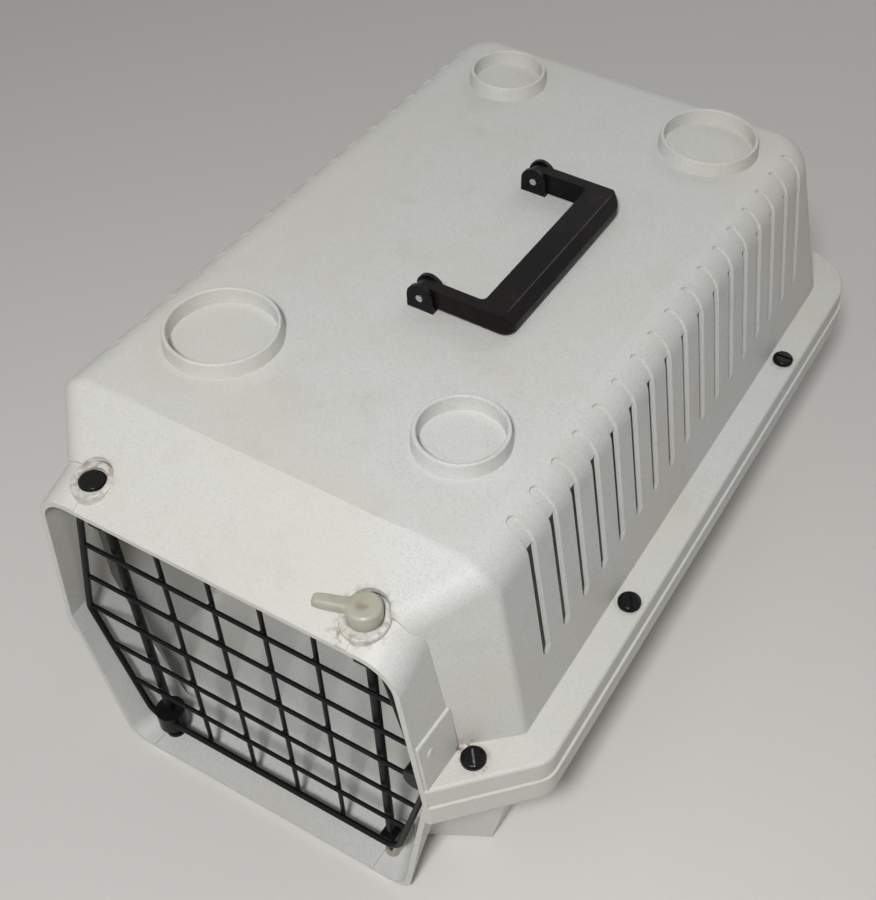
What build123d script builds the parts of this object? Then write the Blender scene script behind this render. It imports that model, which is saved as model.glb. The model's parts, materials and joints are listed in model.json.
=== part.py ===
from build123d import *
import os
from math import cos, radians, sin, tan

os.makedirs("parts", exist_ok=True)

# A two-shell pet carrier with a wire door and a folding bail handle, in millimetres.
# The origin is the middle of its footprint on the floor: X runs to the right as the
# doorway is faced, Y runs from the doorway at -Y to the rear, and Z is up.

# Shells
roof_height = 248.5
parting_height = 112.0
shell_wall = 3.0
cabin_half_width = 141.5
cabin_rear = 230.5
cabin_corner = -193.5
side_draft = 8.1
rear_draft = 15.4
lower_side_draft = 10.4
lower_rear_draft = 12.0
rear_corner_radius = 28.0
front_corner_radius = 6.0
shoulder_radius = 20.0
bottom_radius = 5.0
nose_half_width = 112.0
nose_front = -218.0
nose_roof_half_width = 94.0
nose_roof_front = -227.5
nose_edge_radius = 14.0
nose_floor_half_width = 88.0
nose_floor_front = -213.0
corner_floor = -196.5
foot_height = 1.5
foot_width = 14.0

# Doorway collar, whose roof slopes down from the crease in the roof to the rim
rim_front = -245.0
rim_height = 219.0
crease = -195.0
rim_top_half_width = 101.5
rim_mid_half_width = 114.5
rim_bottom_half_width = 97.5
rim_top_radius = 20.0
collar_back_radius = 34.0
rim_mid_radius = 5.0
rim_bottom_radius = 12.0
collar_flare = 1.5
collar_taper = 16.5
collar_overlap = 12.0
pad_height = 34.0
pad_length = 28.0
pad_rise = 1.4
pad_edge_radius = 1.0

# Bolted flange round both shells
flange_half_width = 157.5
flange_rear = 243.5
flange_rear_radius = 38.0
flange_side_radius = 14.0
flange_tip_half_width = 113.4
upper_flange_height = 15.0
lower_flange_height = 16.5
lower_flange_lip = 1.5
flange_edge_radius = 2.0

# Rings moulded on the roof: a large pair and a small pair, on opposite diagonals
ring_half_spacing = 69.7
ring_front = -136.9
ring_rear = 145.5
large_ring_radius = 29.5
small_ring_radius = 23.4
ring_height = 8.5
ring_wall = 2.2
ring_edge_radius = 0.8
ring_draft = 1.0
ring_floor_drop = 1.0

# Air slots, alike on both sides
slot_count = 17
slot_pitch = 20.5
slot_first = -165.7
slot_width = 7.0
slot_bottom = 158.0
slot_drop = 11.5
slot_point = 4.0
slot_fall = 1.0
groove_depth = 1.5
groove_reach = 11.0

# Flange bolts and nuts
side_bolt_reach = 148.0
side_bolt_front = -96.7
side_bolt_rear = 125.1
corner_bolt_x = 124.0
corner_bolt_y = -218.3
rear_bolt_x = 80.0
bolt_radius = 3.0
bolt_head_radius = 6.5
bolt_head_height = 3.2
bolt_slot_width = 1.8
bolt_slot_depth = 1.4
bolt_slot_turn = 61.6
bolt_head_edge = 2.0
bolt_clearance = 0.2
bolt_boss_wall = 3.0
nut_radius = 7.0
nut_height = 8.0
bolt_end = 2.0
thread_play = 0.05

# Folding bail handle
handle_x = 2.6
handle_middle = -3.8
handle_span = 118.4
arm_thickness = 6.8
eye_radius = 6.3
pivot_rise = 7.8
grip_inner = 33.0
grip_outer = 52.0
grip_flat = 14.5
grip_edge_drop = 6.5
grip_corner_radius = 7.0
grip_inner_radius = 3.0
grip_edge_radius = 2.0
handle_pin_radius = 2.0
handle_pin_end = 0.5
running_clearance = 0.05
bracket_half_width = 7.85
bracket_plate = 2.2
bracket_gap = 0.35
bracket_base = 0.9
bracket_leg_radius = 2.75
bracket_leg_spacing = 8.8
bracket_leg_short = 0.3
bracket_screw_radius = 1.5
bracket_screw_head_radius = 4.0
bracket_screw_head_height = 2.0
bracket_screw_edge = 0.6
bracket_screw_cover = 0.3

# Wire door, with its bars laid on both sides of one plane
hinge_x = -76.0
latch_x = 78.0
rod_y = -230.7
rod_radius = 2.5
rod_reach = 2.0
frame_radius = 1.8
bar_radius = 1.25
weld_sink = 0.15
rod_gap = 0.3
door_bottom = 21.5
bar_pitch = 30.5
bar_count = 5
upright_count = 4
door_top_half_width = 87.0
door_mid_half_width = 107.5
door_bottom_half_width = 85.0
door_corner_radius = 12.0

# Bosses that carry the two rods, each with a low ridge from it to the rim
hinge_boss_radius = 10.4
latch_boss_radius = 11.4
boss_sink = 0.4
boss_depth = 14.0
ridge_width = 6.0
ridge_offset = 4.0
ridge_rise = 0.8
floor_channel_half_width = 4.2
floor_channel_wall = 2.5
floor_channel_depth = 1.2

# Hinge side
hinge_rod_bottom = 2.0
hinge_plug_radius = 6.6
hinge_plug_rise = 2.0
hinge_plug_drop = 2.0
hinge_plug_dome = 1.5
hinge_foot_radius = 6.0
hinge_foot_height = 2.0
hinge_foot_spigot = 4.0
hinge_block_radius = 8.5
hinge_block_bottom = 13.0
hinge_block_top = 27.0
hinge_block_neck_radius = 4.5
hinge_block_neck_bottom = 8.0

# Latch side
key_thickness = 4.0
key_length = 7.5
key_play = 0.1
lever_stem_radius = 6.6
lever_lip_radius = 7.5
lever_lip_height = 3.0
lever_lip_gap = 0.4
lever_drum_radius = 8.4
lever_drum_height = 9.3
lever_seat_gap = 0.3
lever_arm_length = 23.5
lever_arm_width = 6.2
lever_arm_height = 5.0
lever_arm_angle = 198.0
lever_tip_radius = 1.5
lever_edge_radius = 1.8
lever_recess_length = 6.0
lever_recess_width = 3.2
lever_recess_depth = 0.6
latch_rod_bottom = 8.0
seat_radius = 4.2
seat_length = 14.0
seat_top = 13.0
seat_gap = 0.3
seat_spigot_radius = 3.5
seat_spigot_end = 1.0
rod_end_gap = 0.5

# Clips that tie the rods to the door, and the bumper on its middle bar
clip_width = 9.0
clip_top_height = 8.0
clip_front_wall = 1.2
clip_back_wall = 1.7
clip_corner_radius = 1.5
clip_bottom_low = 19.0
clip_bottom_high = 27.0
bumper_inner = 96.0
bumper_wall_gap = 1.8
bumper_depth = 8.0
bumper_height = 16.0
bumper_rise = 6.0
bumper_edge_radius = 1.5

# Places that follow from the sizes above
rise = roof_height - parting_height
roof_half_width = cabin_half_width - rise * tan(radians(side_draft))
roof_rear = cabin_rear - rise * tan(radians(rear_draft))
floor_half_width = cabin_half_width - parting_height * tan(radians(lower_side_draft))
floor_rear = cabin_rear - parting_height * tan(radians(lower_rear_draft))
floor_top = foot_height + shell_wall
collar_slope = (roof_height - rim_height) / (crease - rim_front)
collar_back = crease + collar_overlap
slot_top = roof_height - slot_drop
side_lean = (rim_mid_half_width - rim_top_half_width) / (rim_height - parting_height)
upper_flange_top = parting_height + upper_flange_height
lower_flange_bottom = parting_height - lower_flange_height
bolt_bottom = lower_flange_bottom - nut_height - bolt_end
ledge_rear = (cabin_rear - upper_flange_height * tan(radians(rear_draft)) + flange_rear) / 2
bolt_places = [(side * side_bolt_reach, y) for side in (-1, 1) for y in (side_bolt_front, side_bolt_rear)]
bolt_places += [(side * corner_bolt_x, corner_bolt_y) for side in (-1, 1)]
bolt_places += [(side * rear_bolt_x, ledge_rear) for side in (-1, 1)]
pivot_z = roof_height + pivot_rise
door_plane = rod_y - rod_radius - rod_gap
frame_y = door_plane - frame_radius
crossbar_y = door_plane - bar_radius - weld_sink
upright_y = door_plane + bar_radius - 2 * weld_sink
door_top = door_bottom + (bar_count + 1) * bar_pitch
upright_pitch = (latch_x - hinge_x) / (upright_count + 1)
boss_top = rim_height + (rod_y - rim_front) * collar_slope - boss_sink
boss_bottom = boss_top - boss_depth
rod_top = boss_bottom + rod_reach
ring_places = [
    ((-ring_half_spacing, ring_front), large_ring_radius),
    ((ring_half_spacing, ring_front), small_ring_radius),
    ((-ring_half_spacing, ring_rear), small_ring_radius),
    ((ring_half_spacing, ring_rear), large_ring_radius),
]
arm_places = [handle_middle - handle_span / 2, handle_middle + handle_span / 2]
leg_lines = [handle_x + side * bracket_leg_spacing / 2 for side in (-1, 1)]
leg_places = [(leg_x, y) for leg_x in leg_lines for y in arm_places]
bracket_depth = arm_thickness + 2 * (bracket_gap + bracket_plate)
bracket_screw_tip = roof_height + bracket_base - bracket_screw_cover
rod_places = [(hinge_x, rod_y), (latch_x, rod_y)]
bar_heights = [door_bottom + (row + 1) * bar_pitch for row in range(bar_count)]
clip_front = frame_y - frame_radius - clip_front_wall
clip_back = rod_y + rod_radius + clip_back_wall
bumper_outer = rim_mid_half_width - shell_wall - bumper_wall_gap
lever_bottom = boss_bottom - lever_lip_gap - lever_lip_height
lever_top = boss_top + lever_seat_gap + lever_drum_height
hinge_plug_bottom = boss_bottom - hinge_plug_drop


# Height of the collar's sloping roof at a place along Y
def collar_roof(y):
    return rim_height + (y - rim_front) * collar_slope


# Half-width of the door frame's centre line at a height
def frame_half_width(z):
    edge = door_top_half_width if z > parting_height else door_bottom_half_width
    end = door_top if z > parting_height else door_bottom
    share = (z - parting_height) / (end - parting_height)
    return door_mid_half_width + (edge - door_mid_half_width) * share


# Outline of the cabin at one height, all corners moved inwards by the inset
def cabin_outline(half_width, rear, corner, nose_half, nose, inset):
    return [
        (-half_width + inset, rear - inset),
        (half_width - inset, rear - inset),
        (half_width - inset, corner + inset),
        (nose_half - inset / 2, nose + inset),
        (-nose_half + inset / 2, nose + inset),
        (-half_width + inset, corner + inset),
    ]


# Outline of the collar at a place along Y, moved inwards by the inset
def collar_outline(y, inset):
    top = collar_roof(y)
    flare = (y - rim_front) * tan(radians(collar_flare))
    taper = (y - rim_front) * tan(radians(collar_taper))
    top_half = rim_mid_half_width - side_lean * (top - parting_height) + flare
    mid_half = rim_mid_half_width + flare
    bottom_half = rim_bottom_half_width - taper
    return [
        (-bottom_half + inset, foot_height + inset),
        (bottom_half - inset, foot_height + inset),
        (mid_half - inset, parting_height),
        (top_half - inset, top - inset),
        (-top_half + inset, top - inset),
        (-mid_half + inset, parting_height),
    ]


# Edges that climb, which are a lofted block's corners
def climbing(edge):
    return edge.bounding_box().size.Z > 1


# Creases that climb at the front, between the side walls and the slanted corners
def at_front_crease(edge):
    middle = edge.center()
    return climbing(edge) and abs(middle.X) > nose_half_width and middle.Y < crease + 3


# Upper edges of the slanted corners, where the front slope meets them
def at_nose_edge(edge):
    middle = edge.center()
    return abs(middle.X) > nose_roof_half_width and middle.Z > rim_height and middle.Y < crease


# Upper cabin block: parting outline to roof outline, cut by the front slope
def upper_block(inset):
    with BuildPart() as block:
        with BuildSketch(Plane.XY.offset(parting_height)):
            with BuildLine():
                Polyline(
                    *cabin_outline(
                        cabin_half_width, cabin_rear, cabin_corner, nose_half_width, nose_front, inset
                    ),
                    close=True,
                )
            make_face()
        with BuildSketch(Plane.XY.offset(roof_height)):
            with BuildLine():
                Polyline(
                    *cabin_outline(
                        roof_half_width,
                        roof_rear,
                        crease + 0.5,
                        nose_roof_half_width,
                        nose_roof_front,
                        inset,
                    ),
                    close=True,
                )
            make_face()
        loft(ruled=True)
        if inset > 0:
            split(bisect_by=Plane.XY.offset(roof_height - inset), keep=Keep.BOTTOM)
        slope = Plane(
            origin=(0, rim_front, rim_height - inset), x_dir=(1, 0, 0), z_dir=(0, -collar_slope, 1)
        )
        split(bisect_by=slope, keep=Keep.BOTTOM)
        fillet(block.edges().filter_by(climbing).group_by(Axis.Y)[-1], rear_corner_radius - inset)
        fillet(block.edges().filter_by(at_nose_edge), nose_edge_radius - inset)
        roof_edges = block.faces().sort_by(Axis.Z)[-1].edges()
        fillet(roof_edges.filter_by(lambda e: e.center().Y > crease / 2), shoulder_radius - inset)
    return block.part


# Lower cabin block: parting outline down to the floor outline
def lower_block(inset):
    with BuildPart() as block:
        with BuildSketch(Plane.XY.offset(parting_height)):
            with BuildLine():
                Polyline(
                    *cabin_outline(
                        cabin_half_width, cabin_rear, cabin_corner, nose_half_width, nose_front, inset
                    ),
                    close=True,
                )
            make_face()
        with BuildSketch(Plane.XY):
            with BuildLine():
                Polyline(
                    *cabin_outline(
                        floor_half_width,
                        floor_rear,
                        corner_floor,
                        nose_floor_half_width,
                        nose_floor_front,
                        inset,
                    ),
                    close=True,
                )
            make_face()
        loft(ruled=True)
        if inset > 0:
            split(bisect_by=Plane.XY.offset(floor_top), keep=Keep.TOP)
        fillet(block.edges().filter_by(climbing).group_by(Axis.Y)[-1], rear_corner_radius - inset)
        fillet(block.faces().sort_by(Axis.Z)[0].edges(), bottom_radius - inset / 2)
    return block.part


# Collar block, a six-sided tube's outside or, with an inset, its inside
def collar_block(inset):
    with BuildPart() as block:
        for y, top_radius in ((rim_front - inset, rim_top_radius), (collar_back, collar_back_radius)):
            with BuildSketch(Plane.XZ.offset(-y)):
                with BuildLine():
                    Polyline(*collar_outline(y, inset), close=True)
                make_face()
                fillet(vertices().group_by(Axis.Y)[-1], top_radius - inset)
                fillet(vertices().group_by(Axis.Y)[0], rim_bottom_radius - inset)
                fillet(vertices().group_by(Axis.X)[0], rim_mid_radius - inset / 2)
                fillet(vertices().group_by(Axis.X)[-1], rim_mid_radius - inset / 2)
        loft(ruled=True)
        split(bisect_by=Plane.XY.offset(roof_height - inset), keep=Keep.BOTTOM)
    return block.part


# Flange blank between two heights, grown by a lip, with its lowest or highest face's
# edges rounded where edge_level is 0 or -1
def flange_blank(low, high, grow, edge_level=None):
    with BuildPart() as blank:
        with BuildSketch(Plane.XY.offset(low)):
            side_front = rim_front + (flange_half_width - flange_tip_half_width)
            with BuildLine():
                Polyline(
                    (-flange_half_width, flange_rear),
                    (flange_half_width, flange_rear),
                    (flange_half_width, side_front),
                    (flange_tip_half_width, rim_front),
                    (-flange_tip_half_width, rim_front),
                    (-flange_half_width, side_front),
                    close=True,
                )
            make_face()
            fillet(vertices().group_by(Axis.Y)[-1], flange_rear_radius)
            fillet(vertices().group_by(Axis.X)[0].sort_by(Axis.Y)[0], flange_side_radius)
            fillet(vertices().group_by(Axis.X)[-1].sort_by(Axis.Y)[0], flange_side_radius)
            offset(amount=grow)
        extrude(amount=high - low)
        if edge_level is not None:
            fillet(blank.faces().sort_by(Axis.Z)[edge_level].edges(), flange_edge_radius)
        split(bisect_by=Plane.XZ.offset(-rim_front), keep=Keep.BOTTOM)
    return blank.part


with BuildPart() as upper_rounded:
    add(upper_block(0))
    fillet(upper_rounded.edges().filter_by(at_front_crease), front_corner_radius)
upper_outside = upper_rounded.part
upper_inside = upper_block(shell_wall)
lower_outside = lower_block(0)
lower_inside = lower_block(shell_wall)
collar_outside = collar_block(0)
collar_inside = collar_block(shell_wall)


# Bosses round the flange bolts between two heights
def bolt_bosses(low, high):
    with BuildPart() as bosses:
        with BuildSketch(Plane.XY.offset(low)):
            with Locations(*bolt_places):
                Circle(bolt_radius + bolt_boss_wall)
        extrude(amount=high - low)
    return bosses.part


# Cutter for the air slots on one side: a pointed slit whose ends fall inwards
arc_center_x = roof_half_width + shoulder_radius * (
    tan(radians(side_draft)) - 1 / cos(radians(side_draft))
)
arc_center_z = roof_height - shoulder_radius
slot_middle = slot_first + slot_pitch * (slot_count - 1) / 2
slot_foot_reach = cabin_half_width - (slot_bottom - parting_height) * tan(radians(side_draft)) - arc_center_x
cut_bottom = slot_bottom - slot_fall * slot_foot_reach
cut_top = slot_top - slot_fall * shoulder_radius
with BuildPart() as slot_cutter:
    with BuildSketch(Plane.YZ.offset(arc_center_x)):
        with Locations((slot_middle, 0)):
            with GridLocations(slot_pitch, 0, slot_count, 1):
                Polygon(
                    (-slot_width / 2, cut_top),
                    (-slot_width / 2, cut_bottom + slot_point),
                    (0, cut_bottom),
                    (slot_width / 2, cut_bottom + slot_point),
                    (slot_width / 2, cut_top),
                    align=None,
                )
    extrude(amount=flange_half_width - arc_center_x, dir=(1, 0, slot_fall))

# Grooves of even depth over one shoulder, with round upper ends
groove_end = roof_half_width - groove_reach
with BuildPart() as groove_cutter:
    with BuildSketch(Plane.XY.offset(arc_center_z)):
        with Locations(((groove_end + flange_half_width) / 2, slot_middle)):
            with GridLocations(0, slot_pitch, 1, slot_count):
                SlotOverall(flange_half_width - groove_end, slot_width)
    extrude(amount=2 * shoulder_radius)
    with BuildSketch(Plane.XZ.offset(-slot_middle - slot_pitch * slot_count / 2)):
        with Locations((arc_center_x, arc_center_z)):
            Circle(shoulder_radius - groove_depth)
    extrude(amount=slot_pitch * slot_count, mode=Mode.SUBTRACT)

# Room inside the upper flange, round its bolt bosses
with BuildPart() as upper_pocket:
    add(flange_blank(parting_height, upper_flange_top - shell_wall, -shell_wall))
    add(bolt_bosses(parting_height, upper_flange_top), mode=Mode.SUBTRACT)
    add(upper_outside, mode=Mode.SUBTRACT)
    add(collar_outside, mode=Mode.SUBTRACT)

# Low pads on both sides of the collar, just behind its rim
with BuildPart() as side_pads:
    add(collar_block(-pad_rise))
    with BuildSketch(Plane.XY.offset(upper_flange_top)):
        with Locations((0, rim_front)):
            Rectangle(2 * flange_half_width, pad_length, align=(Align.CENTER, Align.MIN))
    extrude(amount=pad_height, mode=Mode.INTERSECT)
    fillet(side_pads.faces().sort_by(Axis.Z)[-1].edges(), pad_edge_radius)

# Upper shell: roof, walls, upper half of the collar and of the flange
with BuildPart() as upper_shell:
    add(upper_outside)
    add(collar_outside)
    add(side_pads.part)
    add(flange_blank(parting_height, upper_flange_top, 0, -1))
    split(bisect_by=Plane.XY.offset(parting_height), keep=Keep.TOP)
    # Rings on the roof
    for place, radius in ring_places:
        with BuildSketch(Plane.XY.offset(roof_height)):
            with Locations(place):
                Circle(radius + ring_draft)
        with BuildSketch(Plane.XY.offset(roof_height + ring_height)):
            with Locations(place):
                Circle(radius)
        loft()
    # Hollows
    add(upper_inside, mode=Mode.SUBTRACT)
    add(collar_inside, mode=Mode.SUBTRACT)
    add(upper_pocket.part, mode=Mode.SUBTRACT)
    for place, radius in ring_places:
        with BuildSketch(Plane.XY.offset(roof_height - ring_floor_drop)):
            with Locations(place):
                Circle(radius - ring_wall)
        extrude(amount=ring_height + 2 * ring_floor_drop, mode=Mode.SUBTRACT)
    fillet(upper_shell.faces().group_by(Axis.Z)[-1].edges(), ring_edge_radius)
    # Low ridges from the rod bosses to the rim
    for x, y in rod_places:
        with BuildSketch(Plane.YZ.offset(x - ridge_offset - ridge_width / 2)):
            Polygon(
                (rim_front, rim_height - shell_wall / 2),
                (rim_front, rim_height + ridge_rise),
                (y, collar_roof(y) + ridge_rise),
                (y, collar_roof(y) - shell_wall / 2),
                align=None,
            )
        extrude(amount=ridge_width)
    # Rod bosses through the sloping roof, each cut level at its top
    with BuildSketch(Plane.XY.offset(boss_bottom)):
        with Locations(rod_places[0]):
            Circle(hinge_boss_radius)
        with Locations(rod_places[1]):
            Circle(latch_boss_radius)
    extrude(amount=boss_depth)
    with BuildSketch(Plane.XY.offset(boss_top)):
        with Locations(rod_places[0]):
            Circle(hinge_boss_radius)
        with Locations(rod_places[1]):
            Circle(latch_boss_radius)
    extrude(amount=roof_height - boss_top, mode=Mode.SUBTRACT)
    with BuildSketch(Plane.XY.offset(boss_bottom)):
        with Locations(rod_places[0]):
            Circle(hinge_plug_radius)
        with Locations(rod_places[1]):
            Circle(lever_stem_radius + running_clearance)
    extrude(amount=boss_depth, mode=Mode.SUBTRACT)
    # Bolt holes
    with BuildSketch(Plane.XY.offset(parting_height)):
        with Locations(*bolt_places):
            Circle(bolt_radius + bolt_clearance)
    extrude(amount=upper_flange_height, mode=Mode.SUBTRACT)
    # Air slots with their grooves over the shoulders
    add(slot_cutter.part, mode=Mode.SUBTRACT)
    mirror(slot_cutter.part, about=Plane.YZ, mode=Mode.SUBTRACT)
    add(groove_cutter.part, mode=Mode.SUBTRACT)
    mirror(groove_cutter.part, about=Plane.YZ, mode=Mode.SUBTRACT)
    # Holes for the handle brackets' legs
    with BuildSketch(Plane.XY.offset(roof_height - shell_wall)):
        with Locations(*leg_places):
            Circle(bracket_leg_radius + thread_play)
    extrude(amount=shell_wall, mode=Mode.SUBTRACT)
upper_shell.part.label = "upper_shell"
export_step(upper_shell.part, "parts/upper_shell.step")

# Room inside the lower flange, round its bolt bosses
with BuildPart() as lower_pocket:
    add(
        flange_blank(
            lower_flange_bottom + shell_wall, parting_height, lower_flange_lip - shell_wall
        )
    )
    add(bolt_bosses(lower_flange_bottom, parting_height), mode=Mode.SUBTRACT)
    add(lower_outside, mode=Mode.SUBTRACT)
    add(collar_outside, mode=Mode.SUBTRACT)

# Lower shell: floor tub, lower half of the collar and of the flange
with BuildPart() as lower_shell:
    add(lower_outside)
    add(collar_outside)
    add(flange_blank(lower_flange_bottom, parting_height, lower_flange_lip, 0))
    split(bisect_by=Plane.XY.offset(parting_height), keep=Keep.BOTTOM)
    add(lower_inside, mode=Mode.SUBTRACT)
    add(collar_inside, mode=Mode.SUBTRACT)
    add(lower_pocket.part, mode=Mode.SUBTRACT)
    # Underside drawn up inside a foot that runs round the edge
    with BuildSketch(Plane.XY):
        with BuildLine():
            Polyline(
                *cabin_outline(
                    floor_half_width,
                    floor_rear,
                    corner_floor,
                    nose_floor_half_width,
                    nose_floor_front,
                    foot_width,
                ),
                close=True,
            )
        make_face()
    extrude(amount=foot_height, mode=Mode.SUBTRACT)
    # Seats for the rods' lower ends, and a shallow channel from each to the rim
    with BuildSketch(Plane.XY):
        with Locations(*rod_places):
            Circle(hinge_foot_spigot + floor_channel_wall)
        for x, y in rod_places:
            with Locations((x, (rim_front + y) / 2)):
                Rectangle(2 * (floor_channel_half_width + floor_channel_wall), y - rim_front)
    extrude(amount=floor_top)
    with BuildSketch(Plane.XY.offset(floor_top - floor_channel_depth)):
        for x, y in rod_places:
            with Locations((x, (rim_front + y) / 2)):
                Rectangle(2 * floor_channel_half_width, y - rim_front)
    extrude(amount=floor_channel_depth, mode=Mode.SUBTRACT)
    with BuildSketch(Plane.XY):
        with Locations(rod_places[0]):
            Circle(hinge_foot_spigot)
        with Locations(rod_places[1]):
            Circle(seat_spigot_radius)
    extrude(amount=floor_top, mode=Mode.SUBTRACT)
    # Bolt holes
    with BuildSketch(Plane.XY.offset(lower_flange_bottom)):
        with Locations(*bolt_places):
            Circle(bolt_radius + bolt_clearance)
    extrude(amount=lower_flange_height, mode=Mode.SUBTRACT)
lower_shell.part.label = "lower_shell"
export_step(lower_shell.part, "parts/lower_shell.step")

# Flange bolts, each with a slotted head on the upper flange
with BuildPart() as flange_screws:
    with BuildSketch(Plane.XY.offset(bolt_bottom)):
        with Locations(*bolt_places):
            Circle(bolt_radius)
    extrude(amount=upper_flange_top - bolt_bottom)
    with BuildSketch(Plane.XY.offset(upper_flange_top)):
        with Locations(*bolt_places):
            Circle(bolt_head_radius)
    extrude(amount=bolt_head_height)
    fillet(flange_screws.faces().group_by(Axis.Z)[-1].edges(), bolt_head_edge)
    with BuildSketch(Plane.XY.offset(upper_flange_top + bolt_head_height)):
        for index, (x, y) in enumerate(bolt_places):
            with Locations(Location((x, y, 0), (0, 0, index * bolt_slot_turn))):
                Rectangle(2 * bolt_head_radius, bolt_slot_width)
    extrude(amount=-bolt_slot_depth, mode=Mode.SUBTRACT)
flange_screws.part.label = "flange_screws"
export_step(flange_screws.part, "parts/flange_screws.step")

# Hexagon nuts under the lower flange
with BuildPart() as flange_nuts:
    with BuildSketch(Plane.XY.offset(lower_flange_bottom - nut_height)):
        with Locations(*bolt_places):
            RegularPolygon(nut_radius, 6)
            Circle(bolt_radius + thread_play, mode=Mode.SUBTRACT)
    extrude(amount=nut_height)
flange_nuts.part.label = "flange_nuts"
export_step(flange_nuts.part, "parts/flange_nuts.step")


# Handle bracket at one arm: base plate, two cheeks and two legs through the roof
def handle_bracket(y):
    with BuildPart() as bracket:
        with BuildSketch(Plane.XY.offset(roof_height)):
            with Locations((handle_x, y)):
                Rectangle(2 * bracket_half_width, bracket_depth)
        extrude(amount=bracket_base)
        for back in (y + bracket_depth / 2, y - bracket_depth / 2 + bracket_plate):
            with BuildSketch(Plane.XZ.offset(-back)):
                with Locations((handle_x, pivot_z)):
                    Circle(bracket_half_width)
                with Locations((handle_x, roof_height)):
                    Rectangle(2 * bracket_half_width, pivot_rise, align=(Align.CENTER, Align.MIN))
                with Locations((handle_x, pivot_z)):
                    Circle(handle_pin_radius + thread_play, mode=Mode.SUBTRACT)
            extrude(amount=bracket_plate)
        split(bisect_by=Plane.XY.offset(roof_height), keep=Keep.TOP)
        with BuildSketch(Plane.XY.offset(roof_height)):
            with Locations(*[(leg_x, y) for leg_x in leg_lines]):
                Circle(bracket_leg_radius)
        extrude(amount=bracket_leg_short - shell_wall)
        with BuildSketch(Plane.XY.offset(bracket_screw_tip)):
            with Locations(*[(leg_x, y) for leg_x in leg_lines]):
                Circle(bracket_screw_radius + thread_play)
        extrude(amount=roof_height - shell_wall - bracket_screw_tip, mode=Mode.SUBTRACT)
    return bracket.part


with BuildPart() as handle_bracket_front:
    add(handle_bracket(arm_places[0]))
handle_bracket_front.part.label = "handle_bracket_front"
export_step(handle_bracket_front.part, "parts/handle_bracket_front.step")

with BuildPart() as handle_bracket_rear:
    add(handle_bracket(arm_places[1]))
handle_bracket_rear.part.label = "handle_bracket_rear"
export_step(handle_bracket_rear.part, "parts/handle_bracket_rear.step")

# Screws up into the brackets' legs from inside the roof
with BuildPart() as bracket_screws:
    with BuildSketch(Plane.XY.offset(roof_height - shell_wall)):
        with Locations(*leg_places):
            Circle(bracket_screw_radius)
    extrude(amount=bracket_screw_tip - roof_height + shell_wall)
    with BuildSketch(Plane.XY.offset(roof_height - shell_wall)):
        with Locations(*leg_places):
            Circle(bracket_screw_head_radius)
    extrude(amount=-bracket_screw_head_height)
    fillet(bracket_screws.faces().group_by(Axis.Z)[0].edges(), bracket_screw_edge)
bracket_screws.part.label = "bracket_screws"
export_step(bracket_screws.part, "parts/bracket_screws.step")


# Pivot pin through one bracket, its ends just proud of the cheeks
def handle_pin(y):
    with BuildPart() as pin:
        with BuildSketch(Plane.XZ.offset(-y - bracket_depth / 2 - handle_pin_end)):
            with Locations((handle_x, pivot_z)):
                Circle(handle_pin_radius)
        extrude(amount=bracket_depth + 2 * handle_pin_end)
    return pin.part


with BuildPart() as handle_pin_front:
    add(handle_pin(arm_places[0]))
handle_pin_front.part.label = "handle_pin_front"
export_step(handle_pin_front.part, "parts/handle_pin_front.step")

with BuildPart() as handle_pin_rear:
    add(handle_pin(arm_places[1]))
handle_pin_rear.part.label = "handle_pin_rear"
export_step(handle_pin_rear.part, "parts/handle_pin_rear.step")

# Bail handle: two arms and a broad grip whose outer edge slopes down
with BuildPart() as handle_bail:
    with BuildSketch(Plane.XY.offset(pivot_z - eye_radius)):
        with Locations((handle_x, handle_middle)):
            Rectangle(grip_outer, handle_span + arm_thickness, align=(Align.MIN, Align.CENTER))
            fillet(vertices().group_by(Axis.X)[-1], grip_corner_radius)
        with BuildSketch(mode=Mode.SUBTRACT):
            with Locations((handle_x, handle_middle)):
                Rectangle(grip_inner, handle_span - arm_thickness, align=(Align.MIN, Align.CENTER))
            fillet(vertices().group_by(Axis.X)[-1], grip_inner_radius)
    extrude(amount=2 * eye_radius)
    with BuildSketch(Plane.XZ.offset(-handle_middle - (handle_span + arm_thickness) / 2)):
        Polygon(
            (handle_x + grip_inner + grip_flat, pivot_z + eye_radius),
            (handle_x + grip_outer, pivot_z + eye_radius),
            (handle_x + grip_outer, pivot_z + eye_radius - grip_edge_drop),
            align=None,
        )
    extrude(amount=handle_span + arm_thickness, mode=Mode.SUBTRACT)
    fillet(handle_bail.edges().filter_by(Axis.Y).group_by(Axis.X)[-1], grip_edge_radius)
    for y in arm_places:
        with BuildSketch(Plane.XZ.offset(-y - arm_thickness / 2)):
            with Locations((handle_x, pivot_z)):
                Circle(eye_radius)
        extrude(amount=arm_thickness)
    with BuildSketch(Plane.XZ.offset(-handle_middle - handle_span / 2 - arm_thickness)):
        with Locations((handle_x, pivot_z)):
            Circle(handle_pin_radius + running_clearance)
    extrude(amount=handle_span + 2 * arm_thickness, mode=Mode.SUBTRACT)
handle_bail.part.label = "handle_bail"
export_step(handle_bail.part, "parts/handle_bail.step")

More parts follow.
